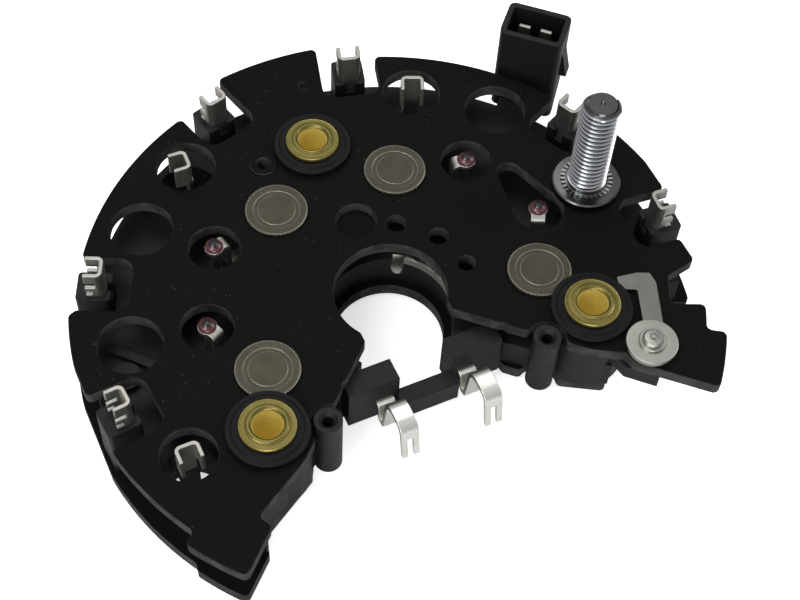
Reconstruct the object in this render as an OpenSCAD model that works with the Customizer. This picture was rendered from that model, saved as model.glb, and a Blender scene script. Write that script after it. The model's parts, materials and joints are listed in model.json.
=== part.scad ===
// Bridge rectifier of a vehicle alternator: two crescent heat-sink plates with press-fit diodes,
// a moulded carrier between them, and the terminals that rise from it.
// Origin: centre of the mounting circle, on the face that the three bushes stand on. +Z up.

/* [Plates] */
// Thickness of both heat-sink plates
plate_t = 3; // [2:0.25:3.5]
// Clear space between the two plates
plate_gap = 12; // [11:0.5:15]
// Height of the lower plate above the mounting face
seat_h = 2; // [1.5:0.25:3]
// Radius of the upper plate's rim between its lobes
rim_r = 63; // [62:0.5:64]
// Radius of the three lobes that reach past the rim
lobe_r = 67; // [66:0.5:69]
// Radius of the central opening in the upper plate
throat_r = 11.5; // [10:0.25:12]
// Radius that breaks the corners of the plate outlines
plate_corner = 1.2; // [0.6:0.2:1.4]

/* [Mounting] */
// Diameter of the circle that the three mounting bushes lie on
bolt_circle = 80; // [78:0.5:82]
// Bore of a mounting bush
bush_bore = 6.2; // [5:0.1:6.6]
// Wall of a mounting bush
bush_wall = 0.8; // [0.6:0.1:1.2]
// Diameter of the flange of a bush
bush_flange = 11.2; // [10:0.2:13]
// Thickness of the flange of a bush
flange_t = 1; // [0.6:0.1:1.4]
// Height of the insulating collar under the flange
collar_h = 2; // [1.6:0.1:2.6]

/* [Diodes] */
// Diameter of a press-fit diode
diode_d = 12.8; // [11:0.2:13]
// Height of a diode's contact face above its plate
diode_proud = 0.7; // [0.4:0.1:0.9]
// Radius of the circle of the upper diodes
top_diode_r = 30.5; // [29.5:0.25:31.5]
// Radius of the circle of the lower diodes
bottom_diode_r = 37.3; // [37:0.1:38]
// Diameter of a diode's wire
lead_d = 1.5; // [1:0.1:2]
// Radius of the openings over the lower diodes
lead_window_r = 5.3; // [4.8:0.1:5.6]

/* [Carrier] */
// Thickness of the carrier's deck and walls
wall = 2; // [1.5:0.25:2.5]
// Height of the carrier's deck above the lower plate
deck_h = 7; // [6:0.5:8]
// Width of a terminal tower, along the rim
tower_w = 6.8; // [6:0.2:8]
// Radius of the inner face of a tower
tower_r = 56; // [55.5:0.25:57]
// Depth of a tower, along the radius
tower_deep = 7; // [6:0.5:8]
// Drop of a tower's top below the top of the upper plate
tower_drop = 1; // [0.5:0.25:2]
// Distance of a front tube boss from the centre line
tube_x = 23.4; // [22.5:0.25:24]
// Distance of a front tube boss in front of the centre
tube_y = 22.6; // [22:0.25:23]
// Radius of a front tube boss
tube_r = 2.8; // [2.4:0.1:3]

/* [Terminals] */
// Thickness of the folded terminal sheet
sheet_t = 0.8; // [0.5:0.1:1]
// Width across a terminal clip
clip_w = 5; // [4.4:0.2:5.4]
// Height of a clip above its tower
clip_h = 7; // [6:0.5:9]
// Length of a clip's two wings
wing_l = 3.4; // [3:0.2:4]
// Thickness of the flat conductor strip
strip_t = 1; // [0.6:0.1:1.2]
// Width of the raised tongues
tongue_w = 3; // [2.4:0.2:3.4]
// Width of an arched fork contact
fork_w = 3.8; // [3.6:0.1:4.6]
// Distance of a fork contact from the centre line
fork_x = 9; // [8.75:0.25:9.5]

/* [Output stud] */
// Diameter of the output stud's thread
stud_d = 8; // [6:1:8]
// Height of the stud above the upper plate
stud_h = 26; // [20:1:32]
// Diameter of the flange at the foot of the stud
stud_flange = 14.3; // [12:0.1:15]

/* [Plug] */
// Length of the plug housing along its long side
plug_l = 14; // [13:0.5:18]
// Depth of the plug housing across its short side
plug_deep = 9.7; // [9:0.1:11]
// Wall of the plug housing
plug_wall = 1.2; // [1:0.1:1.4]
// Height of the plug housing's rim above the mounting face
plug_top = 30; // [27:0.5:34]
// Distance between the middles of the two plug blades
blade_pitch = 4.8; // [4.2:0.1:5.4]

/* [Hidden] */

$fn = 48;
arc_step = 2;        // degrees between the points of a long arc
fit = 0.1;           // clearance of a piece that slides into another
far = 90;            // well outside the part

// Levels, from the mounting face up
low_z = seat_h;
low_top = low_z + plate_t;
deck_top = low_top + deck_h;
up_z = low_top + plate_gap;
up_top = up_z + plate_t;
tower_top = up_top - tower_drop;
bar_z = deck_top;
bar_top = bar_z + strip_t;
collar_z = up_top + collar_h;
bush_top = collar_z + flange_t;

// Plate outline, shared by both plates
side_r = 64.2;       // radius of the sides below the shoulders
side_flat = 63.6;    // half the width across the flat sides
side_from = -31.6;   // the sides run between these two angles
side_to = 18.5;
tip_angle = -42.9;   // both ends of the crescent are cut on radial lines
lobe_half = 15.5;    // half the angle of the top lobe
front_y = 15.2;      // front edge beside the central opening
throat_w = 9.5;      // half the width of the straight throat
tooth = [17.6, 18.4]; // x of the two corners of the tooth beside a tube boss
tooth_y = 19.6;
front_turn = [27.5, 26.5]; // the slanted front edge starts here
front_slope = 30.5;
slant_l = 17.8;      // length of the slanted edge on the left
slant_r = 9.9;       // and on the right, where the plate is wider
scallop = 1.2;       // gap between a tube boss and the plates
notch_r = tower_r - 4; // inner end of the tower notches
notch_w = 12.6;
notch_corner = 3;
// square notch on the right: its two inner corners and the directions its sides run outwards in
tab_notch = [[50.2, -24.9], [53.1, -18.8]];
tab_sides = [-24, 10.5];
tab_x = 60;          // the tab beside it is cut off here
low_inset = 2;       // the lower plate's front edge stands back by this much
low_lobe = 65.2;     // the lower plate's lobes are a little shorter
low_end = [-25, 44.7, 9]; // the lower plate and the deck end on the right: direction, distance, and where it begins

// Places of what the plates carry
bush_angles = [90, 210, 330];
tower_angles = [105.5, 74.5, 155, 25, 185, -5];
top_diode_angles = [116.2, 63.8, 194.2, -14.2];
bottom_diode_angles = [140, 40, 169.8, 10.2];
bush_r = bolt_circle / 2;
bush_out = bush_bore / 2 + bush_wall;
sleeve_r = bush_out + 1.4;
stud_at = polar(bottom_diode_r + 12, 9.5);
stud_shank_r = stud_d / 2 + 0.65;
washer_at = [41.3, -32.2];
washer_r = 5.15;
rivet_r = 1.8;
deck_rivet_at = [-11.3, 39.9];
deck_rivet_r = 2.2;
hook_at = [[25.5, 45], [-26.9, 43.1], [-50, -17.2]];
hook_turn = [247, 178, 270];
hook_height = [6, 6, 1.5];
hook_hole_at = [[26, 46], [-26.5, 46], [-50, -18.5]];
hook_hole_r = [6.2, 6.2, 5.6];
hook_ledge = 12;     // length of the ledge that a hook's foot stands on
hook_ledge_w = 3.7;
vent_at = [[-40.6, 34.3], [40.6, 34.3], [-52, 8.7]];
vent_r = 6.5;
recess_at = [0.8, 18.8];
recess_r = 4.2;
pin_holes = [[8.1, 14.9, 2], [14.7, 8.5, 2], [17, 0.2, 1.8]];
stamp_marks = [[-5, 57], [5, 57]];

// Carrier
boss_r = 8.5;
skirt_r = tower_r + 5;
skirt_from = -16;    // the skirt follows the rim between these two angles
skirt_to = 193;
deck_r = 55.5;       // the deck reaches this far beyond them
ring_wall_r = 12.2;
deck_in = ring_wall_r + wall / 2;
tube_bore_r = 1.1;
block_x = [5.8, 16.7];
block_y = [-12.4, -17.3];
block_top = up_z - 0.6;
end_rib = [[35.5, -27.5], [36.6, -32.6], [41.3, -37.1]]; // short wall under the upper plate's right end
end_rib_h = 3.5;
bridge_y = [-16.3, -20];
bridge_top = deck_top - 1.5;
plug_angle = 47;     // direction that the plug's short side points in
plug_face = rim_r + 2.6; // distance of the plug's near face from the centre, along that direction
plug_side = -9.6;    // offset of the plug's middle across it
plug_arm_w = 9;
plug_arm_t = 4;
plug_seat = 1;       // the arm enters the near wall of the plug by this much
plug_floor = plug_top - 11;
latch_w = 3.2;

// Diode body
diode_r = diode_d / 2;
diode_ring_r = diode_r * 0.68;
pot_r = diode_r * 0.7;
pot_h = 2.4;
eyelet_top = up_top + 0.2;
eyelet_r = 2;
tongue_foot = 2.6;   // a tongue rises this far from its wire

function polar(r, a) = [r * cos(a), r * sin(a)];
function arc(r, a0, a1) =
  let (n = ceil(abs(a1 - a0) / arc_step)) [for (i = [0:n]) polar(r, a0 + (a1 - a0) * i / n)];
function unit(v) = v / norm(v);

// Points that replace the corner b of the path a-b-c with an arc of radius r
function corner(a, b, c, r, n = 5) =
  let (u = unit(a - b), v = unit(c - b),
       half = acos(u * v) / 2,
       m = b + unit(u + v) * r / sin(half),
       s = b + u * r / tan(half) - m,
       turn = (180 - 2 * half) * sign(cross(u, v)) * -1,
       a0 = atan2(s.y, s.x))
  [for (i = [0:n]) m + polar(r, a0 + turn * i / n)];
// The path p with its corners rounded, by one radius or by one for each point
function rounded(p, r) = let (n = len(p) - 1)
  concat([p[0]], [for (i = [1:n - 1]) each corner(p[i - 1], p[i], p[i + 1], is_list(r) ? r[i] : r)], [p[n]]);

// Closed outline of a strip of sheet: the path p moved h to either side, with mitred joins
function beside(p, i, h) =
  let (n = len(p) - 1, j = min(i + 1, n), k = max(i, 1),
       u = unit(p[j] - p[j - 1]), v = unit(p[k] - p[k - 1]), w = unit(u + v))
  p[i] + [-w.y, w.x] * h / (w * u);
function ribbon(p, t) = let (n = len(p) - 1)
  concat([for (i = [0:n]) beside(p, i, t / 2)], [for (i = [n:-1:0]) beside(p, i, -t / 2)]);

module at(p, a = 0) { translate([p.x, p.y, 0]) rotate(a) children(); }
module both_sides() { children(); mirror([1, 0, 0]) children(); }
module slab(z, h) { translate([0, 0, z]) linear_extrude(h) children(); }
module rod(r, z0, z1) { translate([0, 0, z0]) cylinder(r = r, h = z1 - z0); }
module soften(r) { offset(r) offset(-2 * r) offset(r) children(); }
module box_2d(x0, x1, y0, y1) { translate([x0, y0]) square([x1 - x0, y1 - y0]); }
module sector(r, a0, a1) { polygon(concat([[0, 0]], arc(r, a0, a1))); }
module round_box(l, w, r) {
  offset(r) square([l - 2 * r, w - 2 * r], center = true);
}

// ---------- plates ----------

// Full crescent before its front edge is cut
module crescent(tip_r) {
  sector(rim_r, tip_angle, 180 - tip_angle);
  sector(lobe_r, 90 - lobe_half, 90 + lobe_half);
  intersection() {
    union() {
      sector(side_r, tab_sides[0], side_to);
      mirror([1, 0]) sector(side_r, side_from, side_to);
    }
    box_2d(-side_flat, side_flat, -far, far);
  }
  both_sides() sector(tip_r, tip_angle, side_from);
}

// What is cut away in front, on the right; the left side mirrors it with its own slant
module front_cut(slant, tail, inset = 0) {
  low = [front_turn.x + slant * cos(front_slope), front_turn.y + slant * sin(front_slope)];
  step = polar(tail, tip_angle);
  translate([0, inset])
    polygon([[-1, -far], [-1, -front_y], [tooth[0], -front_y - 0.3], [tooth[1], -tooth_y],
             [front_turn.x, -front_turn.y], [low.x, -low.y], step, polar(far, tip_angle), [0, -far]]);
}

module throat(r, w) {
  circle(r, $fn = 120);
  box_2d(-w, w, -far, 0);
}

module tower_notches() {
  for (a = tower_angles) rotate(a)
    translate([notch_r, -notch_w / 2]) offset(notch_corner) offset(-notch_corner) square([far, notch_w]);
}

module tube_holes(r) { both_sides() at([tube_x, -tube_y]) circle(r); }

module top_outline() {
  soften(plate_corner) difference() {
    crescent(lobe_r);
    front_cut(slant_r, 50.2);
    mirror([1, 0]) front_cut(slant_l, 56.2);
    throat(throat_r, throat_w);
    tower_notches();
    tube_holes(tube_r + scallop);
    polygon([tab_notch[0], tab_notch[0] + polar(far, tab_sides[0]), tab_notch[1] + polar(far, tab_sides[1]), tab_notch[1]]);
    box_2d(tab_x, far, -19, -8);
  }
}

// Where the lower plate and the deck end on the right
module right_end() { rotate(low_end[0]) box_2d(low_end[1], far, -far, low_end[2]); }

// Holes under the two hooks on the left
module hook_wells() { for (i = [1, 2]) at(hook_hole_at[i]) circle(hook_hole_r[i]); }

module low_outline() {
  soften(plate_corner) difference() {
    crescent(low_lobe);
    front_cut(slant_r, 50.2, low_inset);
    mirror([1, 0]) front_cut(slant_l, 56.2, low_inset);
    throat(throat_r, throat_w);
    tube_holes(tube_r + scallop);
    right_end();
    hook_wells();
  }
}

module lead_windows() {
  for (i = [0:3]) at(polar(bottom_diode_r, bottom_diode_angles[i])) rod(lead_window_r, up_z - 1, up_top + 1);
  // the window on the right is drawn out towards the stud, the one on the left runs into the hook's hole
  slab(up_z - 1, plate_t + 2) hull() {
    translate(polar(bottom_diode_r, bottom_diode_angles[3])) circle(lead_window_r - 0.2, $fn = 32);
    translate([35.6, 17.5]) circle(2.6, $fn = 24);
  }
}

module top_plate() color([0.16, 0.16, 0.16]) difference() {
  slab(up_z, plate_t) top_outline();
  for (a = top_diode_angles) at(polar(top_diode_r, a)) rod(diode_r, up_z - 1, up_top + 1);
  for (a = bush_angles) at(polar(bush_r, a)) rod(sleeve_r, up_z - 1, up_top + 1);
  lead_windows();
  for (i = [0:2]) at(hook_hole_at[i]) rod(hook_hole_r[i], up_z - 1, up_top + 1);
  for (v = vent_at) at(v) rod(vent_r, up_z - 1, up_top + 1);
  for (h = pin_holes) at(h) rod(h[2], up_z - 1, up_top + 1);
  at(recess_at) rod(recess_r, up_top - 2, up_top + 1);
  for (m = stamp_marks) at(m) rod(1.1, up_top - 0.4, up_top + 1);
  at(stud_at) rod(stud_shank_r, up_z - 1, up_top + 1);
  at(washer_at) rod(rivet_r, up_z - 1, up_top + 1);
  at(deck_rivet_at) rod(deck_rivet_r, up_z - 1, up_top + 1);
}

module bottom_plate() color([0.16, 0.16, 0.16]) difference() {
  slab(low_z, plate_t) low_outline();
  for (a = bottom_diode_angles) at(polar(bottom_diode_r, a)) rod(diode_r, low_z - 1, low_top + 1);
  for (a = top_diode_angles) at(polar(top_diode_r, a)) rod(lead_window_r, low_z - 1, low_top + 1);
  for (a = bush_angles) at(polar(bush_r, a)) rod(bush_out, low_z - 1, low_top + 1);
  at(recess_at) rod(recess_r, low_z - 1, low_top + 1);
}

// ---------- diodes ----------

// Cup with a pressed ring on its contact face and the potting at the other end; contact face at z = 0, body below
module diode_cup() {
  body = plate_t + diode_proud;
  difference() {
    union() {
      rod(diode_r, -body, 0);
      translate([0, 0, -body - pot_h]) cylinder(r1 = pot_r * 0.75, r2 = pot_r, h = pot_h);
    }
    rotate_extrude() translate([diode_ring_r, 0]) circle(0.35, $fn = 16);
    rod(lead_d / 2, -body - pot_h - 1, -body);
  }
}

module diode_up(r, a) color([0.62, 0.60, 0.54]) at(polar(r, a))
  translate([0, 0, up_top + diode_proud]) diode_cup();
module diode_down(r, a) color([0.62, 0.60, 0.54]) at(polar(r, a))
  translate([0, 0, low_z - diode_proud]) mirror([0, 0, 1]) diode_cup();

module top_lead(i) color([0.75, 0.72, 0.65]) at(polar(top_diode_r, top_diode_angles[i]))
  rod(lead_d / 2, bar_z - 1.2, up_z);
module bottom_lead(i) color([0.75, 0.72, 0.65]) at(polar(bottom_diode_r, bottom_diode_angles[i]))
  rod(lead_d / 2, low_top, up_top + 1.2);

// ---------- conductors ----------

// Strip on the deck from an upper diode's wire to a lower one's, which then rises beside it to an eyelet
module phase_bar(i) color([0.72, 0.70, 0.62]) {
  a = polar(top_diode_r, top_diode_angles[i]);
  b = polar(bottom_diode_r, bottom_diode_angles[i]);
  turn = atan2(a.y - b.y, a.x - b.x);
  low = bar_z + strip_t / 2;
  high = eyelet_top - strip_t / 2;
  run = norm(a - b);
  path = [[run + 2 * eyelet_r, low], [tongue_foot, low], [tongue_foot, high], [-2 * eyelet_r, high]];
  difference() {
    intersection() {
      at(b, turn) translate([0, tongue_w, 0]) rotate([90, 0, 0]) linear_extrude(2 * tongue_w)
        polygon(ribbon(rounded(path, 0.8), strip_t));
      slab(bar_z - 1, eyelet_top - bar_z + 2) {
        at(a) circle(tongue_w / 2 + 0.6);
        at(b, turn) box_2d(0, run, -tongue_w / 2, tongue_w / 2);
        at(b) circle(eyelet_r);
      }
    }
    at(a) rod(lead_d / 2, bar_z - 2, bar_top + 1);
    at(b) rod(lead_d / 2, bar_z - 2, eyelet_top + 2);
  }
}

module solder_bead(i) color([0.45, 0.30, 0.32]) at(polar(bottom_diode_r, bottom_diode_angles[i])) difference() {
  translate([0, 0, eyelet_top]) cylinder(r1 = eyelet_r - 0.1, r2 = lead_d / 2 + 0.3, h = 0.9);
  rod(lead_d / 2, bar_z, up_top + 5);
}

module ring_conductor() color([0.78, 0.78, 0.74]) slab(deck_top, 2)
  polygon(concat(arc(ring_wall_r + 1.2, -12, 60), arc(ring_wall_r + 0.4, 60, -12)));

// ---------- mounting ----------

module mount_bush(i) color([0.72, 0.66, 0.34]) at(polar(bush_r, bush_angles[i])) rotate_extrude()
  polygon([[bush_bore / 2, 0], [bush_out + 1, 0], [bush_out + 1, low_z - 0.8], [bush_out + 0.4, low_z],
           [bush_out, low_z], [bush_out, collar_z], [bush_flange / 2, collar_z], [bush_flange / 2, bush_top],
           [bush_out, bush_top], [bush_out - 0.2, bush_top + 0.4], [bush_bore / 2, bush_top + 0.4]]);

module insulator(i) color([0.10, 0.10, 0.10]) at(polar(bush_r, bush_angles[i])) rotate_extrude()
  polygon([[bush_out, up_z], [sleeve_r, up_z], [sleeve_r, up_top], [6.7, up_top], [6.7, up_top + 1],
           [8.2, up_top + 1], [8.2, up_top + 1.6], [7, up_top + 1.6], [7, collar_z], [bush_out, collar_z]]);

module stud() color([0.70, 0.70, 0.72]) at(stud_at) {
  difference() {
    union() {
      rod(stud_shank_r, up_z - 0.6, up_top);
      rod(stud_flange / 2, up_top, up_top + 2);
      rod(stud_shank_r, up_top + 2, up_top + 3.2);
      rod(stud_d / 2, up_top + 3.2, up_top + stud_h - 1.2);
      translate([0, 0, up_top + stud_h - 1.2]) cylinder(r1 = stud_d / 2, r2 = stud_d / 2 - 1.2, h = 1.2);
    }
    translate([0, 0, up_top + stud_h - 0.8]) cylinder(r1 = 0.1, r2 = 0.9, h = 0.9);
  }
  translate([0, 0, up_z - 1.4]) cylinder(r1 = stud_shank_r, r2 = stud_shank_r + 0.8, h = 1.4);
}

module link_strap() color([0.66, 0.66, 0.66]) difference() {
  slab(up_top, strip_t) {
    soften(0.4) polygon([[42.8, -15.4], [42, -18.4], [45.1, -19.8], [42.3, -27], [38.5, -29.5], [41.5, -35],
                         [44.5, -31.5], [46, -28.7], [49.6, -19.7], [49.5, -17.2], [47.1, -16.1]]);
    translate(washer_at) circle(washer_r - 0.4);
  }
  at(washer_at) rod(rivet_r, up_z, up_top + 5);
}

module strap_washer() color([0.66, 0.64, 0.58]) at(washer_at) difference() {
  rod(washer_r, up_top + strip_t, up_top + strip_t + 1);
  rod(rivet_r, up_top, up_top + 5);
}

module strap_rivet() color([0.60, 0.58, 0.52]) at(washer_at) {
  head = up_top + strip_t + 1;
  rod(rivet_r, up_z - 1, head);
  rod(2.5, head, head + 1);
  rod(1.5, head + 1, head + 1.8);
  rod(rivet_r + 0.6, up_z - 1, up_z);
}

module deck_rivet() color([0.13, 0.13, 0.13]) at(deck_rivet_at) difference() {
  union() {
    rod(deck_rivet_r, up_z - 0.8, up_top);
    rod(3, up_top, up_top + 0.5);
    rod(2.7, up_z - 0.8, up_z);
  }
  rod(deck_rivet_r - 0.7, up_z - 2, up_top + 2);
}

// ---------- carrier ----------

module deck_2d() {
  difference() {
    union() {
      sector(skirt_r, skirt_from, skirt_to);
      sector(deck_r, tip_angle + 2, 178 - tip_angle);
    }
    right_end();
    difference() {
      hook_wells();
      for (i = [1, 2]) at(hook_at[i], hook_turn[i]) box_2d(-hook_ledge, 0.6, -hook_ledge_w / 2, hook_ledge_w / 2);
    }
    translate([0, low_inset]) {
      front_cut(slant_r, 50.2);
      mirror([1, 0]) front_cut(slant_l, 56.2);
    }
    circle(deck_in);
    box_2d(-throat_w - 0.6, throat_w + 0.6, -far, 0);
  }
}

module tower(a) rotate(a) difference() {
  slab(low_top, tower_top - low_top) translate([tower_r + tower_deep / 2, 0]) round_box(tower_deep, tower_w, 0.8);
  slab(tower_top - 3, 4) clip_plan(2 * fit);
  // slot in the inner wall, behind the clip's web
  slab(tower_top - 2.6, 4) box_2d(tower_r - 1, tower_r + 1.2, -1.1, 1.1);
}

module tube_boss() at([tube_x, -tube_y]) difference() {
  rod(tube_r, low_top, up_top + 1);
  rod(tube_bore_r, low_top - 1, up_top + 2);
  translate([0, 0, up_top + 0.2]) cylinder(r1 = tube_bore_r, r2 = tube_bore_r + 0.9, h = 0.9);
}

module contact_block() {
  slab(low_top, block_top - low_top) box_2d(block_x[0], block_x[1], block_y[1], block_y[0]);
}

module carrier() color([0.13, 0.13, 0.13]) difference() {
  union() {
    slab(deck_top - wall, wall) deck_2d();
    // skirt along the deck's edge, and the wall round the central opening
    slab(low_top, deck_h - wall / 2) difference() {
      deck_2d();
      offset(-wall) deck_2d();
    }
    for (a = bush_angles) at(polar(bush_r, a)) rod(boss_r, low_top, up_z);
    for (a = tower_angles) tower(a);
    both_sides() tube_boss();
    both_sides() contact_block();
    slab(low_top, bridge_top - low_top) box_2d(-block_x[0] - 0.5, block_x[0] + 0.5, bridge_y[1], bridge_y[0]);
    slab(up_z - end_rib_h, end_rib_h) polygon(ribbon(end_rib, 1.6));
    plug_arm(0);
  }
  for (a = bush_angles) at(polar(bush_r, a)) rod(bush_out + fit, low_top - 1, up_z + 1);
  for (a = bottom_diode_angles) at(polar(bottom_diode_r, a)) rod(lead_d / 2 + fit, low_top, up_z);
  for (a = top_diode_angles) at(polar(top_diode_r, a)) rod(lead_d / 2 + fit, low_top, up_z);
  both_sides() at([fork_x, 0]) fork_tab(fit);
}

// ---------- plug ----------

// Frame of the plug: x along its long side, y outwards, origin at the middle of its near face
module plug_frame() { rotate(plug_angle - 90) translate([-plug_side, plug_face, 0]) children(); }

module plug_arm(gap) plug_frame()
  slab(deck_top - plug_arm_t - gap, plug_arm_t + 2 * gap)
    box_2d(-plug_arm_w / 2 - gap, plug_arm_w / 2 + gap, -12, plug_seat + gap);

module plug_housing() color([0.13, 0.13, 0.13]) difference() {
  plug_frame() {
    difference() {
      intersection() {
        slab(0, plug_top) translate([0, plug_deep / 2]) round_box(plug_l, plug_deep, 1.5);
        translate([-far / 2, 0, 0]) rotate([90, 0, 90]) linear_extrude(far)
          polygon([[-1, deck_top - plug_arm_t - 1], [-1, far], [far, far], [far, 17.5], [plug_deep, 17.5], [2.5, 7]]);
      }
      slab(plug_floor, far) translate([0, plug_deep / 2])
        round_box(plug_l - 2 * plug_wall, plug_deep - 2 * plug_wall, 0.6);
    }
    // latch wedge on one end
    translate([plug_l / 2, plug_deep / 2 + latch_w / 2, 0]) rotate([90, 0, 0]) linear_extrude(latch_w)
      polygon([[-0.6, plug_top - 12], [1.6, plug_top - 12], [0, plug_top - 5], [-0.6, plug_top - 5]]);
  }
  plug_arm(0);
  plug_blades(0);
  plug_blades(1);
}

module plug_blades(i) plug_frame()
  translate([(i - 0.5) * blade_pitch, plug_deep / 2 + 0.2, 0]) {
    slab(plug_floor - 5, plug_top - 1.5 - plug_floor + 5) square([2.5, 0.8], center = true);
  }
module plug_blade(i) color([0.75, 0.73, 0.66]) plug_blades(i);

// ---------- terminals ----------

// Plan of a clip on the +X axis: web towards the centre, two wings outwards
module clip_plan(extra = 0) {
  inner = tower_r + 1 + sheet_t / 2;
  half = (clip_w - sheet_t) / 2;
  path = [[inner + wing_l, -half], [inner, -half], [inner, half], [inner + wing_l, half]];
  polygon(ribbon(rounded(path, 0.9), sheet_t + extra));
}

module clip(i) color([0.80, 0.79, 0.76]) rotate(tower_angles[i]) difference() {
  slab(tower_top - 3, clip_h + 3) clip_plan();
  // slot that forks each wing
  slab(tower_top + clip_h * 0.42, 1.5) box_2d(tower_r + 2.6, tower_r + 9, -clip_w, clip_w);
  slab(tower_top + 0.6, 1) box_2d(tower_r + 3.4, tower_r + 9, -clip_w, clip_w);
}

module hook(i) color([0.80, 0.79, 0.76]) at(hook_at[i], hook_turn[i]) {
  half = (clip_w - sheet_t) / 2;
  top = up_top + hook_height[i];
  web_z = top - 5.5;
  slab(web_z, top - web_z)
    polygon(ribbon(rounded([[wing_l, -half], [0, -half], [0, half], [wing_l, half]], 0.9), sheet_t));
  slab(bar_z, web_z - bar_z + 1) box_2d(-sheet_t / 2, sheet_t / 2, -1.6, 1.6);
  slab(bar_z, strip_t) box_2d(-3.3, sheet_t / 2, -1.6, 1.6);
}

// Side view of a fork contact: from its tab in the block, down, up over the arch and down to the tips
fork_z = deck_top - 1.6;
fork_path = [[-14.4, fork_z], [-18.2, fork_z], [-19, 6.6], [-20.7, 6.6], [-22.1, up_top - 2.4],
             [-28.2, up_top - 2.8], [-29.8, 8.8]];
fork_bends = [0, 0.75, 0.75, 0.75, 2.6, 2.4];

module fork_tab(gap) slab(fork_z - strip_t / 2 - gap, strip_t + 2 * gap)
  box_2d(-fork_w / 2 - gap, fork_w / 2 + gap, -18, -14.4 + gap);

module fork_contact(s) color([0.70, 0.70, 0.68]) translate([s * fork_x, 0, 0]) difference() {
  translate([-fork_w / 2, 0, 0]) rotate([90, 0, 90]) linear_extrude(fork_w)
    polygon(ribbon(rounded(fork_path, fork_bends), strip_t));
  // slot between the two prongs
  translate([-0.6, -33, 0]) cube([1.2, 6, 14]);
}

top_plate();
bottom_plate();
carrier();
plug_housing();
plug_blade(0);  // plug_blade_1
plug_blade(1);  // plug_blade_2
diode_up(top_diode_r, top_diode_angles[0]);  // top_diode_1
diode_up(top_diode_r, top_diode_angles[1]);  // top_diode_2
diode_up(top_diode_r, top_diode_angles[2]);  // top_diode_3
diode_up(top_diode_r, top_diode_angles[3]);  // top_diode_4
top_lead(0);  // top_lead_1
top_lead(1);  // top_lead_2
top_lead(2);  // top_lead_3
top_lead(3);  // top_lead_4
diode_down(bottom_diode_r, bottom_diode_angles[0]);  // bottom_diode_1
diode_down(bottom_diode_r, bottom_diode_angles[1]);  // bottom_diode_2
diode_down(bottom_diode_r, bottom_diode_angles[2]);  // bottom_diode_3
diode_down(bottom_diode_r, bottom_diode_angles[3]);  // bottom_diode_4
bottom_lead(0);  // bottom_lead_1
bottom_lead(1);  // bottom_lead_2
bottom_lead(2);  // bottom_lead_3
bottom_lead(3);  // bottom_lead_4
phase_bar(0);  // phase_bar_1
phase_bar(1);  // phase_bar_2
phase_bar(2);  // phase_bar_3
phase_bar(3);  // phase_bar_4
solder_bead(0);  // solder_bead_1
solder_bead(1);  // solder_bead_2
solder_bead(2);  // solder_bead_3
solder_bead(3);  // solder_bead_4
mount_bush(0);  // mount_bush_1
mount_bush(1);  // mount_bush_2
mount_bush(2);  // mount_bush_3
insulator(0);  // insulator_1
insulator(1);  // insulator_2
insulator(2);  // insulator_3
stud();
link_strap();
strap_washer();
strap_rivet();
deck_rivet();
clip(0);  // clip_1
clip(1);  // clip_2
clip(2);  // clip_3
clip(3);  // clip_4
clip(4);  // clip_5
clip(5);  // clip_6
hook(0);  // hook_1
hook(1);  // hook_2
hook(2);  // hook_3
fork_contact(-1);  // fork_contact_1
fork_contact(1);  // fork_contact_2
ring_conductor();
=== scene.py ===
"""Looks of an alternator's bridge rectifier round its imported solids.

Finishes, softened edges, turned bushes, the stud's thread, knurls, solder and the stage.
"""
import json
import math
import random

import bpy
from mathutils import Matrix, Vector

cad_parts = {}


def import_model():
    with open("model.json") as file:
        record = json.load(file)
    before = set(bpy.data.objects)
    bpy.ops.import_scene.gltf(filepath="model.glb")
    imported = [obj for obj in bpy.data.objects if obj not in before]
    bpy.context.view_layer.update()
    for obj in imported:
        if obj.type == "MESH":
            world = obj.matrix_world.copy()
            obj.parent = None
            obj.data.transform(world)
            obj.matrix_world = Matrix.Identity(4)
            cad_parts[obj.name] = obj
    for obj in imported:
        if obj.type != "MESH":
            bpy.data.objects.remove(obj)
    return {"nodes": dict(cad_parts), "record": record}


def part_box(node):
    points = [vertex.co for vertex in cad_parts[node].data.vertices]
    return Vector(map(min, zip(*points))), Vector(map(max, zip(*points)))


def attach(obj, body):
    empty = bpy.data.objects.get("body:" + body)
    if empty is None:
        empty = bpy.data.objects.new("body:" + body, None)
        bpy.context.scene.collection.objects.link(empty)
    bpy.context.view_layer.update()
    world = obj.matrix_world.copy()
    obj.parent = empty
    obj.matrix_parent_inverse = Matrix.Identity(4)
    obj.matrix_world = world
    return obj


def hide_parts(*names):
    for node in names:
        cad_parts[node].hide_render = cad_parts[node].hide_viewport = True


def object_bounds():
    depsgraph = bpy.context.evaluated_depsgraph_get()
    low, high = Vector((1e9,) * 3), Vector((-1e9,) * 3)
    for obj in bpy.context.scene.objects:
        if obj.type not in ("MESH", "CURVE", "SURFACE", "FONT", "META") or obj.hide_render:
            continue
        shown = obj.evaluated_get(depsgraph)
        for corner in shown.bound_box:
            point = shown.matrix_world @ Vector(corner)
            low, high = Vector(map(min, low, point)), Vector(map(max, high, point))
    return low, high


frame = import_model()
cad_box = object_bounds()
NODES = frame["nodes"]
MM = 0.001
# levels above the mounting face, in millimetres
DECK_TOP = 12.0
PLATE_TOP = 20.0
random.seed(7)


# ---------- small helpers ----------

def centre(node):
    """Middle of a node's box."""
    low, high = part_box(node)
    return (low + high) / 2


def only(obj):
    """Leaves obj alone selected and active."""
    bpy.ops.object.select_all(action="DESELECT")
    obj.select_set(True)
    bpy.context.view_layer.objects.active = obj


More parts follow.
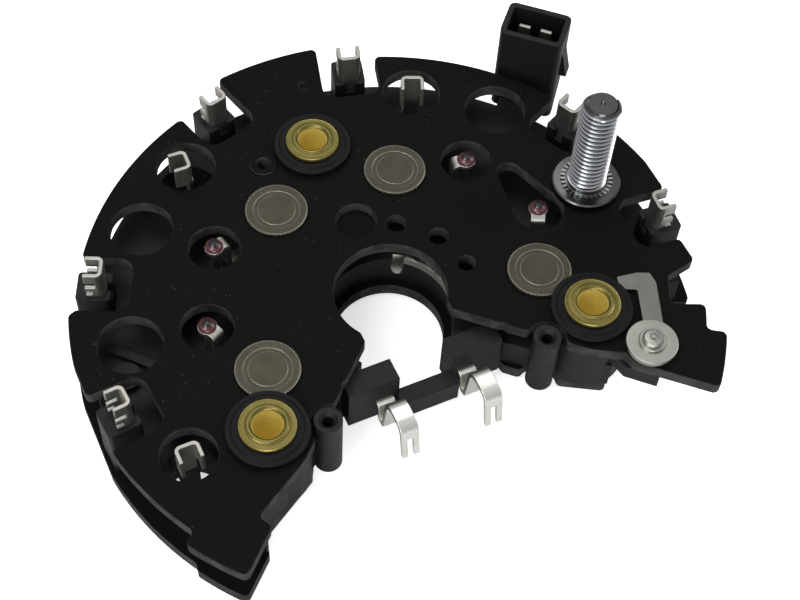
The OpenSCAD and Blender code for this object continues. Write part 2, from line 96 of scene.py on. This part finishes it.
def apply(obj, kind, **settings):
    """Adds a modifier with these settings and applies it."""
    only(obj)
    mod = obj.modifiers.new(kind.title(), kind)
    for name, value in settings.items():
        setattr(mod, name, value)
    bpy.ops.object.modifier_apply(modifier=mod.name)


def finish_piece(obj, name, material, smooth=35):
    """Names a finished piece, places it in its mesh, shades it and hangs it on the frame."""
    only(obj)
    bpy.ops.object.transform_apply(location=True, rotation=True, scale=True)
    obj.name = name
    bpy.ops.object.shade_smooth_by_angle(angle=math.radians(smooth))
    obj.data.materials.clear()
    obj.data.materials.append(material)
    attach(obj, "root")
    return obj


def added(primitive, **settings):
    """A new primitive, the only object that is selected."""
    bpy.ops.object.select_all(action="DESELECT")
    getattr(bpy.ops.mesh, "primitive_" + primitive + "_add")(**settings)
    return bpy.context.object


def slab(size, at, turn):
    """A box of this size at a place, turned about its own upright axis."""
    obj = added("cube", size=1, rotation=(0, 0, turn), location=at)
    obj.scale = size
    return obj


def around(turn, radius, height, middle=Vector((0, 0, 0))):
    """A place on a circle round an upright axis."""
    return (middle.x + radius * math.cos(turn), middle.y + radius * math.sin(turn), height)


def edit(obj, *steps):
    """Runs edit-mode steps on the whole of obj."""
    only(obj)
    bpy.ops.object.mode_set(mode="EDIT")
    bpy.ops.mesh.select_all(action="SELECT")
    for step in steps:
        step()
    bpy.ops.object.mode_set(mode="OBJECT")


def turned(name, profile, at, steps=72, pitch=0.0, turns=1):
    """A closed profile of (radius, height) points in millimetres, turned round the vertical axis at a place;
    with a pitch it climbs like a thread."""
    obj = added("circle", vertices=len(profile), fill_type="NOTHING", location=(0, 0, 0))
    obj.name = name
    for vertex, (radius, height) in zip(obj.data.vertices, profile):
        vertex.co = (radius * MM, 0, height * MM)
    apply(obj, "SCREW", axis="Z", angle=2 * math.pi, steps=steps, render_steps=steps, screw_offset=pitch * MM,
          iterations=turns, use_merge_vertices=True, merge_threshold=1e-6, use_normal_calculate=True)
    edit(obj, lambda: bpy.ops.mesh.normals_make_consistent(inside=False))
    obj.location = (at.x, at.y, 0)
    return obj


def joined(*pieces):
    """The pieces as one object, with their places in the mesh."""
    bpy.ops.object.select_all(action="DESELECT")
    for piece in pieces:
        piece.select_set(True)
    bpy.context.view_layer.objects.active = pieces[0]
    bpy.ops.object.transform_apply(location=True, rotation=True, scale=True)
    bpy.ops.object.join()
    return bpy.context.object


# ---------- shader maths ----------

# sockets of a Mix node that is set to colours
MIX_FACTOR, MIX_LOW, MIX_HIGH, MIX_RESULT = 0, 6, 7, 2


class Wire:
    """A shader socket that adds Math nodes when it is used in an expression."""

    def __init__(self, nodes, socket):
        self.nodes, self.socket = nodes, socket

    def _math(self, operation, *values):
        return self.nodes.node("ShaderNodeMath", {"operation": operation}, dict(enumerate(values)))

    def __add__(self, other):
        return self._math("ADD", self, other)

    def __sub__(self, other):
        return self._math("SUBTRACT", self, other)

    def __rsub__(self, other):
        return self._math("SUBTRACT", other, self)

    def __mul__(self, other):
        return self._math("MULTIPLY", self, other)

    __radd__ = __add__
    __rmul__ = __mul__

    def or_higher(self, other):
        """The higher of the two."""
        return self._math("MAXIMUM", self, other)

    def between(self, low, high):
        """0 below low, 1 above high, smooth in between."""
        settings = {"interpolation_type": "SMOOTHSTEP"}
        return self.nodes.node("ShaderNodeMapRange", settings, {0: self, 1: low, 2: high})


class Nodes:
    """A tree that is built node by node."""

    def __init__(self, tree):
        self.tree = tree

    def fill(self, socket, value):
        """Links a wire to a socket, or writes a plain value into it."""
        if isinstance(value, Wire):
            self.tree.links.new(value.socket, socket)
        else:
            socket.default_value = value

    def node(self, kind, settings=None, inputs=None, output=0):
        """Adds a node with its settings, then its sockets' values or links, and gives one of its outputs."""
        made = self.tree.nodes.new(kind)
        for name, value in (settings or {}).items():
            setattr(made, name, value)
        for name, value in (inputs or {}).items():
            self.fill(made.inputs[name], value)
        return Wire(self, made.outputs[output])


class Paint(Nodes):
    """A procedural material on object coordinates."""

    def __init__(self, name, **constants):
        self.material = bpy.data.materials.new(name)
        self.material.use_nodes = True
        super().__init__(self.material.node_tree)
        self.shader = self.tree.nodes["Principled BSDF"]
        for socket, value in constants.items():
            self.set(socket.replace("_", " "), value)
        self.place = self.node("ShaderNodeTexCoord", output="Object")

    def set(self, socket, value):
        """Feeds a socket of the shader."""
        self.fill(self.shader.inputs[socket], value)
        return self

    def noise(self, per_mm, detail=2.0, rough=0.5, place=None):
        """Clouds with this many cells to a millimetre."""
        values = {"Vector": place or self.place, "Scale": per_mm / MM, "Detail": detail, "Roughness": rough}
        return self.node("ShaderNodeTexNoise", {}, values, "Fac")

    def stretched(self, scale):
        """Object coordinates scaled along each axis, for grain that runs one way."""
        values = {"Vector": self.place, "Scale": scale}
        return self.node("ShaderNodeMapping", {"vector_type": "POINT"}, values)

    def mix(self, mask, low, high):
        """The low colour where the mask is 0 and the high one where it is 1."""
        values = {MIX_FACTOR: mask, MIX_LOW: low, MIX_HIGH: high}
        return self.node("ShaderNodeMix", {"data_type": "RGBA"}, values, MIX_RESULT)

    def specks(self, per_mm, low, high):
        """Small round spots on a grid of random cells: 1 inside a spot."""
        values = {"Vector": self.place, "Scale": per_mm / MM}
        return 1 - self.node("ShaderNodeTexVoronoi", {}, values, "Distance").between(low, high)

    def edges(self, radius_mm):
        """1 on convex edges and 0 on flats, from a rounded normal."""
        bevel = self.node("ShaderNodeBevel", {"samples": 4}, {"Radius": radius_mm * MM})
        normal = self.node("ShaderNodeNewGeometry", output="Normal")
        dot = self.node("ShaderNodeVectorMath", {"operation": "DOT_PRODUCT"}, {0: bevel, 1: normal}, "Value")
        return 1 - dot

    def axis(self, k):
        """Coordinate along x, y or z in metres."""
        return self.node("ShaderNodeSeparateXYZ", {}, {0: self.place}, output=k)

    def sides(self):
        """1 on upright faces, 0 on level ones."""
        normal = self.node("ShaderNodeNewGeometry", output="Normal")
        up = self.node("ShaderNodeSeparateXYZ", {}, {0: normal}, output=2)
        return 1 - (up * up).between(0.15, 0.8)

    def bump(self, height, depth_mm, strength=1.0, round_mm=0.0):
        """Relief by height; with round_mm the edges also look rounded by that radius."""
        values = {"Height": height, "Distance": depth_mm * MM, "Strength": strength}
        if round_mm:
            values["Normal"] = self.node("ShaderNodeBevel", {"samples": 6}, {"Radius": round_mm * MM})
        return self.set("Normal", self.node("ShaderNodeBump", {}, values))


def rgb(r, g, b):
    return (r, g, b, 1.0)


# ---------- finishes ----------

def black_paint():
    """Satin black coat on stamped plate: faint orange peel, pale dust, brown-grey wear and a painted
    highlight on the edges, and painted light on the upright sides.
    """
    p = Paint("black_paint", Specular_IOR_Level=0.04)
    cloud = p.noise(0.05, 3)
    dust = p.specks(0.7, 0.04, 0.1) * p.noise(0.12, 2).between(0.42, 0.62)
    base = p.mix(cloud, rgb(0.0036, 0.0037, 0.0031), rgb(0.0062, 0.0062, 0.0052))
    base = p.mix(dust * 0.7, base, rgb(0.12, 0.12, 0.11))
    # edges: partly brown-grey wear, partly a painted highlight along them
    wear_and_edge_sheen = p.edges(0.25).between(0.02, 0.12) * p.noise(0.35, 3).between(0.42, 0.62)
    # painted light: upright faces, the plate's sides and the walls of its holes, are painted lighter grey
    base = p.mix(p.sides() * (0.4 + 0.6 * p.noise(0.3, 3).between(0.35, 0.65)), base, rgb(0.05, 0.05, 0.047))
    p.set("Base Color", p.mix(wear_and_edge_sheen * 0.7, base, rgb(0.085, 0.072, 0.062)))
    p.set("Roughness", 0.46 + 0.12 * cloud)
    p.bump(p.noise(1.6, 2) * 0.7 + p.noise(6, 1) * 0.3, 0.03, 0.35, round_mm=0.3)
    return p.material


def black_moulding():
    """Matt glass-filled plastic: fine grain, slightly greyer than the paint."""
    p = Paint("black_moulding", Specular_IOR_Level=0.24)
    cloud = p.noise(0.08, 3)
    p.set("Base Color", p.mix(cloud, rgb(0.0045, 0.0045, 0.0046), rgb(0.009, 0.009, 0.0092)))
    p.set("Roughness", 0.42 + 0.2 * p.noise(0.5, 3))
    p.bump(p.noise(3.0, 3), 0.03, 0.5, round_mm=0.3)
    return p.material


def insulator_moulding():
    """Denser, smoother black of the collars."""
    p = Paint("insulator_moulding", Specular_IOR_Level=0.10)
    cloud = p.noise(0.3, 2)
    p.set("Base Color", p.mix(cloud, rgb(0.004, 0.004, 0.004), rgb(0.008, 0.008, 0.008)))
    p.set("Roughness", 0.34 + 0.12 * cloud)
    p.bump(p.noise(2.5, 2), 0.02, 0.35)
    return p.material


def tinned_sheet():
    """Dull tin on folded strip: pale grey with soft mottling and darker handling marks."""
    p = Paint("tinned_sheet", Metallic=1.0)
    cloud = p.noise(0.35, 4, 0.6)
    grain = p.noise(0.9, 2, 0.5, p.stretched((1, 1, 6)))
    colour = p.mix(cloud, rgb(0.30, 0.293, 0.265), rgb(0.46, 0.45, 0.42))
    stain = p.noise(0.15, 3).between(0.56, 0.72)
    p.set("Base Color", p.mix(stain * 0.45, colour, rgb(0.42, 0.39, 0.33)))
    p.set("Roughness", 0.34 + 0.16 * grain)
    p.bump(grain * 0.6 + cloud * 0.4, 0.03, 0.4)
    return p.material


def diode_nickel():
    """Warm grey nickel, sand-dull, with a fine speckle and a painted highlight on its edges."""
    p = Paint("diode_nickel", Metallic=1.0)
    fine = p.noise(5, 3, 0.7)
    cloud = p.noise(0.25, 3)
    colour = p.mix(cloud, rgb(0.055, 0.051, 0.037), rgb(0.095, 0.089, 0.069))
    colour = p.mix(fine.between(0.5, 0.72) * 0.6, colour, rgb(0.022, 0.02, 0.016))
    # painted highlight: convex edges, the knurl's teeth among them, are lightened
    p.set("Base Color", p.mix(p.edges(0.28).between(0.004, 0.05), colour, rgb(0.36, 0.34, 0.28)))
    p.set("Roughness", 0.42 + 0.14 * fine)
    p.bump(fine, 0.02, 0.5)
    return p.material


def diode_wire():
    """Dull tinned copper."""
    p = Paint("diode_wire", Metallic=1.0)
    cloud = p.noise(0.6, 3)
    p.set("Base Color", p.mix(cloud, rgb(0.28, 0.24, 0.2), rgb(0.5, 0.46, 0.4)))
    p.set("Roughness", 0.3 + 0.2 * cloud)
    return p.material


def solder():
    """Solder under a wine-red film of flux, darker at its top."""
    p = Paint("solder", Metallic=0.0, Coat_Weight=0.35, Coat_Roughness=0.05, Specular_IOR_Level=0.3)
    cloud = p.noise(0.8, 3)
    top = (p.axis(2) + 0.4 * MM * cloud).between((PLATE_TOP + 1.2) * MM, (PLATE_TOP + 1.5) * MM)
    p.set("Base Color", p.mix(top, rgb(0.085, 0.022, 0.027), rgb(0.012, 0.008, 0.009)))
    p.set("Roughness", 0.16 + 0.2 * cloud)
    p.bump(cloud, 0.1, 0.4)
    return p.material


def bush_brass():
    """Turned yellow brass, dull on the flange, with a painted highlight on its edges."""
    p = Paint("bush_brass", Metallic=0.75)
    cloud = p.noise(0.3, 3)
    fine = p.noise(4, 2)
    colour = p.mix(cloud, rgb(0.09, 0.075, 0.014), rgb(0.19, 0.158, 0.042))
    # painted highlight: convex edges are lightened to bright brass
    p.set("Base Color", p.mix(p.edges(0.2).between(0.01, 0.1), colour, rgb(0.62, 0.52, 0.16)))
    p.set("Roughness", 0.24 + 0.16 * fine)
    p.bump(fine, 0.012, 0.4)
    return p.material


def zinc_plate():
    """Bright zinc, darker on the flange and on the flat tip, with painted shade down in the thread."""
    p = Paint("zinc_plate", Metallic=1.0)
    cloud = p.noise(0.5, 3)
    high = p.axis(2)
    tip = high.between(45.2 * MM, 45.6 * MM)
    flange = 1 - high.between((PLATE_TOP + 2.3) * MM, (PLATE_TOP + 2.5) * MM)
    middle = centre("stud")
    x, y = p.axis(0) - middle.x, p.axis(1) - middle.y
    # painted shade: inside the crest radius, down among the thread's roots, the zinc is darkened
    thread_root_shade = 1 - (x * x + y * y).between((3.5 * MM) ** 2, (3.9 * MM) ** 2)
    colour = p.mix(cloud, rgb(0.36, 0.37, 0.38), rgb(0.50, 0.51, 0.53))
    colour = p.mix(thread_root_shade, colour, rgb(0.10, 0.105, 0.12))
    p.set("Base Color", p.mix(tip + flange, colour, rgb(0.11, 0.113, 0.11)))
    p.set("Roughness", 0.15 + 0.10 * cloud)
    p.bump(p.noise(1.2, 2), 0.01, 0.15)
    return p.material


def strap_metal():
    """Satin grey metal with light scratches; what lies above the strap, the washer, is paler."""
    p = Paint("strap_metal", Metallic=1.0)
    cloud = p.noise(0.2, 4, 0.6)
    scratch = p.noise(0.5, 2, 0.5, p.stretched((5, 0.6, 1))).between(0.45, 0.7)
    strap = p.mix(cloud, rgb(0.10, 0.102, 0.093), rgb(0.155, 0.157, 0.145))
    washer = p.mix(cloud, rgb(0.25, 0.25, 0.225), rgb(0.40, 0.40, 0.365))
    above_strap = p.axis(2).between((PLATE_TOP + 0.95) * MM, (PLATE_TOP + 1.1) * MM)
    p.set("Base Color", p.mix(above_strap, strap, washer))
    p.set("Roughness", 0.3 + 0.15 * scratch)
    p.bump(scratch, 0.012, 0.4)
    return p.material


def fork_tin():
    """Tinned brass strip, pale, with a faint yellow cast where it is bent."""
    p = Paint("fork_tin", Metallic=1.0)
    cloud = p.noise(0.25, 4, 0.6)
    colour = p.mix(cloud.between(0.5, 0.75), rgb(0.74, 0.745, 0.70), rgb(0.62, 0.60, 0.50))
    p.set("Base Color", colour)
    p.set("Roughness", 0.24 + 0.14 * cloud)
    p.bump(p.noise(1.2, 2), 0.02, 0.35)
    return p.material


def bore_brass():
    """Inside of a bush, painted brighter than the flange and given a faint glow; both stand for light that
    comes up through the bore.
    """
    p = Paint("bore_brass", Metallic=0.4, Emission_Strength=1.0)
    cloud = p.noise(0.5, 3)
    rise = p.axis(2).between(0.0, (PLATE_TOP + 2) * MM)
    # painted light: base far brighter than the flange's brass, and a glow that is stronger towards the foot
    p.set("Base Color", p.mix(cloud, rgb(0.50, 0.40, 0.09), rgb(0.66, 0.55, 0.17)))
    p.set("Emission Color", p.mix(rise, rgb(0.15, 0.108, 0.018), rgb(0.07, 0.052, 0.01)))
    p.set("Roughness", 0.3 + 0.15 * cloud)
    return p.material


FINISHES = {make.__name__: make() for make in (
    black_paint, black_moulding, insulator_moulding, tinned_sheet, diode_nickel, diode_wire,
    solder, bush_brass, zinc_plate, strap_metal, fork_tin, bore_brass)}
SLOTS = {row["node"]: row["material_slot"] for row in frame["record"]["subparts"]}


# ---------- pieces that keep the solid's own form, with softened edges ----------

SHARP = math.radians(38)
NEARLY_FLAT = math.radians(0.6)


def softened(node, width):
    """A welded copy of a CAD node whose sharp edges are rounded, which stands for it."""
    obj = NODES[node].copy()
    obj.data = NODES[node].data.copy()
    for key in list(obj.keys()):
        del obj[key]
    obj.parent = None
    bpy.context.scene.collection.objects.link(obj)
    edit(obj, lambda: bpy.ops.mesh.remove_doubles(threshold=2e-6),
         lambda: bpy.ops.mesh.dissolve_limited(angle_limit=NEARLY_FLAT))
    bpy.ops.object.shade_smooth_by_angle(angle=SHARP)
    apply(obj, "BEVEL", width=width * MM, segments=2, limit_method="ANGLE", angle_limit=SHARP,
          use_clamp_overlap=False, miter_outer="MITER_ARC", harden_normals=True)
    return dressed(obj, node)


def dressed(obj, node):
    """Gives a piece the finish of the node that it stands for."""
    only(obj)
    bpy.ops.object.transform_apply(location=True, rotation=True, scale=True)
    obj.name = node + "_dressed"
    obj.data.materials.clear()
    obj.data.materials.append(FINISHES[SLOTS[node]])
    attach(obj, "root")
    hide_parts(node)
    return obj


def smoothed(obj, angle=35):
    """Shades a piece smooth but for its edges sharper than the angle, in degrees."""
    only(obj)
    bpy.ops.object.shade_smooth_by_angle(angle=math.radians(angle))
    return obj


def numbered(family):
    """The nodes of a numbered family, in order."""
    return sorted(node for node in NODES if node.rstrip("0123456789") == family + "_")


def bushes():
    """Turned bushes: a dished flange, a raised lip and a chamfered bore lined with a sleeve whose brightness
    and glow are painted light.
    """
    profile = [(3.1, 0.2), (3.3, 0), (4.9, 0), (4.9, 1.2), (4.3, 2), (3.9, 2), (3.9, 22), (5.4, 22),
               (5.6, 22.2), (5.6, 22.75), (5.45, 22.92), (5.2, 22.86), (4.45, 22.86), (4.2, 22.95),
               (3.98, 23.05), (3.86, 23.36), (3.7, 23.4), (3.4, 23.3), (3.1, 22.9)]
    bore = [(3.03, 0.4), (3.1, 0.4), (3.1, 22.7), (3.03, 22.7)]
    for node in numbered("mount_bush"):
        dressed(smoothed(turned(node, profile, centre(node))), node)
        sleeve = turned(node, bore, centre(node))
        finish_piece(sleeve, node + "_bore", FINISHES["bore_brass"])


def stud():
    """Rolled thread that runs up to a chamfered end, over a serrated ring and a flange."""
    middle = centre("stud")
    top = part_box("stud")[1].z / MM
    core, crest, pitch, foot = 3.3, 4.0, 1.25, 23.0
    body = [(0, 15.6), (5.45, 15.6), (4.65, 17), (4.65, 20), (6.95, 20), (7.15, 20.2), (7.15, 21.7),
            (6.85, 22), (4.1, 22.15), (4.1, 23.1), (core, 23.4), (core, top - 0.55), (2.9, top),
            (0.55, top), (0.35, top - 0.3), (0, top - 0.3)]
    flank, land = pitch * 0.46, 0.08
    ridge = [(core - 0.1, -flank), (crest, -land), (crest, land), (core - 0.1, flank)]
    shank = turned("stud", body, middle, steps=96)
    thread = turned("thread", ridge, middle, steps=48, pitch=pitch, turns=round((top - foot) / pitch))
    highest, fade_from, narrowest = top - 0.1, top - 0.2, 2.8
    for vertex in thread.data.vertices:
        vertex.co.z = min(vertex.co.z + foot * MM, highest * MM)
        # the crest dies out in the chamfer at the top
        room = max(min(crest, core + fade_from - vertex.co.z / MM), narrowest)
        radius = math.hypot(vertex.co.x, vertex.co.y) / MM
        if radius > room:
            vertex.co.x *= room / radius
            vertex.co.y *= room / radius
    count, ring, tooth_z = 30, 5.0, 22.2
    turns = [2 * math.pi * k / count for k in range(count)]
    teeth = [slab((0.9 * MM, 0.5 * MM, 0.5 * MM), around(turn, ring * MM, tooth_z * MM, middle), turn)
             for turn in turns]
    dressed(smoothed(joined(shank, thread, *teeth)), "stud")


def rivet():
    """Headed rivet with stepped rings and a small nib."""
    profile = [(0, 16), (2.4, 16), (2.4, 17), (1.8, 17), (1.8, 22), (2.75, 22), (2.75, 22.4), (2.6, 22.55),
               (2.15, 22.55), (2.1, 23.05), (1.75, 23.4), (0.85, 23.5), (0.75, 23.35), (0.5, 23.35),
               (0.4, 23.7), (0, 23.75)]
    dressed(smoothed(turned("strap_rivet", profile, centre("strap_rivet"), steps=48)), "strap_rivet")


def beads():
    """Domes of solder, each a little out of round, that leave the wire's tip showing."""
    profile = [(0.3, 20.1), (1.95, 20.15), (2.0, 20.35), (1.85, 20.7), (1.5, 21.0), (1.1, 21.2),
               (0.85, 21.35), (0.7, 21.55), (0.3, 21.62)]
    for node in numbered("solder_bead"):
        bead = turned(node, profile, centre(node), steps=40)
        bead.scale = (random.uniform(0.92, 1.04), random.uniform(0.92, 1.04), 1)
        bead.rotation_euler.z = random.uniform(0, 3)
        dressed(smoothed(bead, 60), node)


def knurls():
    """Pressed knurl round the rim of each upper diode."""
    count, proud, sunk, height = 72, 0.14 * MM, 0.08 * MM, 0.62 * MM
    for node in numbered("top_diode"):
        middle = centre(node)
        rim = (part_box(node)[1].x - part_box(node)[0].x) / 2
        obj = added("cylinder", vertices=2 * count, radius=rim + proud, depth=height, end_fill_type="NGON",
                    location=(0, 0, 0))
        # every second point stands back, which leaves a tooth between
        for vertex in obj.data.vertices:
            step = round(math.atan2(vertex.co.y, vertex.co.x) * count / math.pi)
            if step % 2:
                vertex.co.x *= (rim - sunk) / (rim + proud)
                vertex.co.y *= (rim - sunk) / (rim + proud)
        obj.location = (middle.x, middle.y, PLATE_TOP * MM + height / 2)
        finish_piece(obj, node + "_knurl", FINISHES[SLOTS[node]], smooth=20)


def ring_joints():
    """Round-ended tab at the upper end of the ring conductor, and the joints along it."""
    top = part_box("ring_conductor")[1].z
    radius, reach = 13.0 * MM, 9.9 * MM
    width, thick = 2.5 * MM, 0.5 * MM

    def bridge(turn, inner, outer, wide, high, z):
        """A box that runs outwards from one radius to another."""
        return slab((outer - inner, wide, high), around(turn, (inner + outer) / 2, z), turn)

    turn = math.radians(57)
    strip = bridge(turn, reach, radius, width, thick, top)
    end = added("cylinder", vertices=32, radius=width / 2, depth=thick * 0.98,
                location=around(turn, reach, top))
    finish_piece(joined(strip, end), "ring_tab", FINISHES["fork_tin"])

    joint_sizes = ((46, 1.6), (30, 3.2), (14, 2.4))
    inner, outer, high = radius - 0.5 * MM, radius + 0.4 * MM, 0.7 * MM
    joints = [bridge(math.radians(degrees), inner, outer, wide * MM, high, top + 0.2 * MM)
              for degrees, wide in joint_sizes]
    obj = joined(*joints)
    apply(obj, "BEVEL", width=0.2 * MM, segments=2)
    finish_piece(obj, "ring_joints", FINISHES["fork_tin"])


def deck_rib():
    """Slanting rib with a round boss on the deck, seen through the left vent."""
    high, level = 1.4 * MM, (DECK_TOP + 0.6) * MM
    rib = slab((13 * MM, 2 * MM, high), (-51 * MM, 9.5 * MM, level), math.radians(-48))
    boss = added("cylinder", vertices=48, radius=3.2 * MM, depth=high, location=(-54.5 * MM, 6.4 * MM, level))
    finish_piece(joined(rib, boss), "deck_rib", FINISHES["black_moulding"])


# width of the softened edges by family, in millimetres; the bottom plate, the carrier and the plug
# housing keep their own meshes, and their finishes make the edges look round
EDGE_WIDTHS = {"top_plate": 0.35, "clip": 0.14, "hook": 0.14, "fork_contact": 0.16, "phase_bar": 0.14,
               "link_strap": 0.18, "strap_washer": 0.2, "deck_rivet": 0.2, "insulator": 0.25,
               "plug_blade": 0.12, "ring_conductor": 0.12, "top_diode": 0.2, "bottom_diode": 0.2}
# families that are turned anew
TURNED = ("mount_bush", "stud", "strap_rivet", "solder_bead")


def dress_nodes():
    """Gives every node its finish, softens the edges of some families, and adds the pieces made here."""
    for node in NODES:
        family = node.rstrip("0123456789").rstrip("_")
        if family in EDGE_WIDTHS:
            softened(node, EDGE_WIDTHS[family])
        elif family not in TURNED:
            NODES[node].data.materials.clear()
            NODES[node].data.materials.append(FINISHES[SLOTS[node]])
    bushes()
    stud()
    rivet()
    beads()
    knurls()
    ring_joints()
    deck_rib()


# ---------- stage ----------

# how far the floor is lifted towards white for the camera, and how strongly the surroundings light the part
FLOOR_LIFT = 0.6
AMBIENT = 0.4
# how bright the surroundings look in a reflection: near the horizon and overhead, at these heights
SHINE = (0.0, 0.45)
SHINE_HEIGHTS = (0.15, 0.85)


def floor():
    """Wide pale floor at the part's foot."""
    low, high = cad_box
    obj = added("plane", size=6, location=((low.x + high.x) / 2, (low.y + high.y) / 2, low.z))
    obj.name = "floor"
    p = Paint("pale_floor", Roughness=0.9, Specular_IOR_Level=0.0, Emission_Strength=1.0)
    seen = p.node("ShaderNodeLightPath", output="Is Camera Ray")
    p.set("Base Color", p.mix(seen, rgb(0.82, 0.82, 0.82), rgb(1, 1, 1)))
    p.set("Emission Color", p.mix(seen, rgb(0, 0, 0), rgb(FLOOR_LIFT, FLOOR_LIFT, FLOOR_LIFT)))
    obj.data.materials.append(p.material)


def world():
    """Surroundings: white to the camera, dim as a light, and in reflections brighter overhead."""
    sky = bpy.data.worlds.new("studio")
    sky.use_nodes = True
    bpy.context.scene.world = sky
    air = Nodes(sky.node_tree)
    camera_ray, through, glossy = (
        air.node("ShaderNodeLightPath", output=ray)
        for ray in ("Is Camera Ray", "Is Transmission Ray", "Is Glossy Ray"))
    place = air.node("ShaderNodeTexCoord", output="Generated")
    height = air.node("ShaderNodeSeparateXYZ", {}, {0: place}, output=2)
    rise = air.node("ShaderNodeMapRange", {}, {
        "Value": height, "From Min": SHINE_HEIGHTS[0], "From Max": SHINE_HEIGHTS[1],
        "To Min": SHINE[0], "To Max": SHINE[1]})
    white = camera_ray.or_higher(through).or_higher(glossy * rise)
    strength = air.node("ShaderNodeMapRange", {}, {"Value": white, "To Min": AMBIENT, "To Max": 1.0})
    background = air.tree.nodes["Background"]
    air.fill(background.inputs["Color"], rgb(1, 1, 1))
    air.fill(background.inputs["Strength"], strength)


# name, place from the middle of the part in metres, size, power in watts
LAMPS = (("key", (-0.55, -0.25, 0.75), 0.45, 4.2),
         ("side", (0.7, -0.1, 0.5), 0.35, 1.6),
         ("top", (0.05, 0.45, 0.9), 0.7, 2.2),
         ("front", (-0.35, -0.75, 0.22), 0.5, 3.4))


def lamps():
    """Four soft area lamps that face the part."""
    middle = (cad_box[0] + cad_box[1]) / 2
    for name, offset, size, power in LAMPS:
        data = bpy.data.lights.new(name, "AREA")
        data.size, data.energy = size, power
        lamp = bpy.data.objects.new(name, data)
        bpy.context.scene.collection.objects.link(lamp)
        lamp.location = middle + Vector(offset)
        lamp.rotation_euler = (middle - lamp.location).to_track_quat("-Z", "Y").to_euler()


# Camera: millimetres and degrees in the part's frame; shift as a share of the picture's width
CAMERA = {"target": (-8.385, 0.268, 20.0), "azimuth": 25.0, "elevation": 56.52, "roll": 1.371,
          "distance": 308.95, "lens": 69.88, "shift": (0.0601, 0.0045)}


def camera():
    """Camera from the values above, rolled about its own line of sight."""
    c = CAMERA
    az, el, roll = (math.radians(c[k]) for k in ("azimuth", "elevation", "roll"))
    forward = Vector((math.sin(az) * math.cos(el), math.cos(az) * math.cos(el), -math.sin(el)))
    right = Vector((math.cos(az), -math.sin(az), 0))
    up = right.cross(forward)
    rolled_right = right * math.cos(roll) + up * math.sin(roll)
    rolled_up = up * math.cos(roll) - right * math.sin(roll)
    data = bpy.data.cameras.new("camera")
    data.sensor_width = 36
    data.lens = c["lens"]
    data.shift_x, data.shift_y = c["shift"]
    data.clip_start = 0.01
    obj = bpy.data.objects.new("camera", data)
    bpy.context.scene.collection.objects.link(obj)
    for i, axis in enumerate((rolled_right, rolled_up, -forward)):
        for j in range(3):
            obj.matrix_world[j][i] = axis[j]
    obj.matrix_world.translation = Vector(c["target"]) * MM - forward * c["distance"] * MM
    bpy.context.scene.camera = obj


camera()
floor()
world()
lamps()
dress_nodes()
bpy.context.scene.view_settings.view_transform = "Standard"
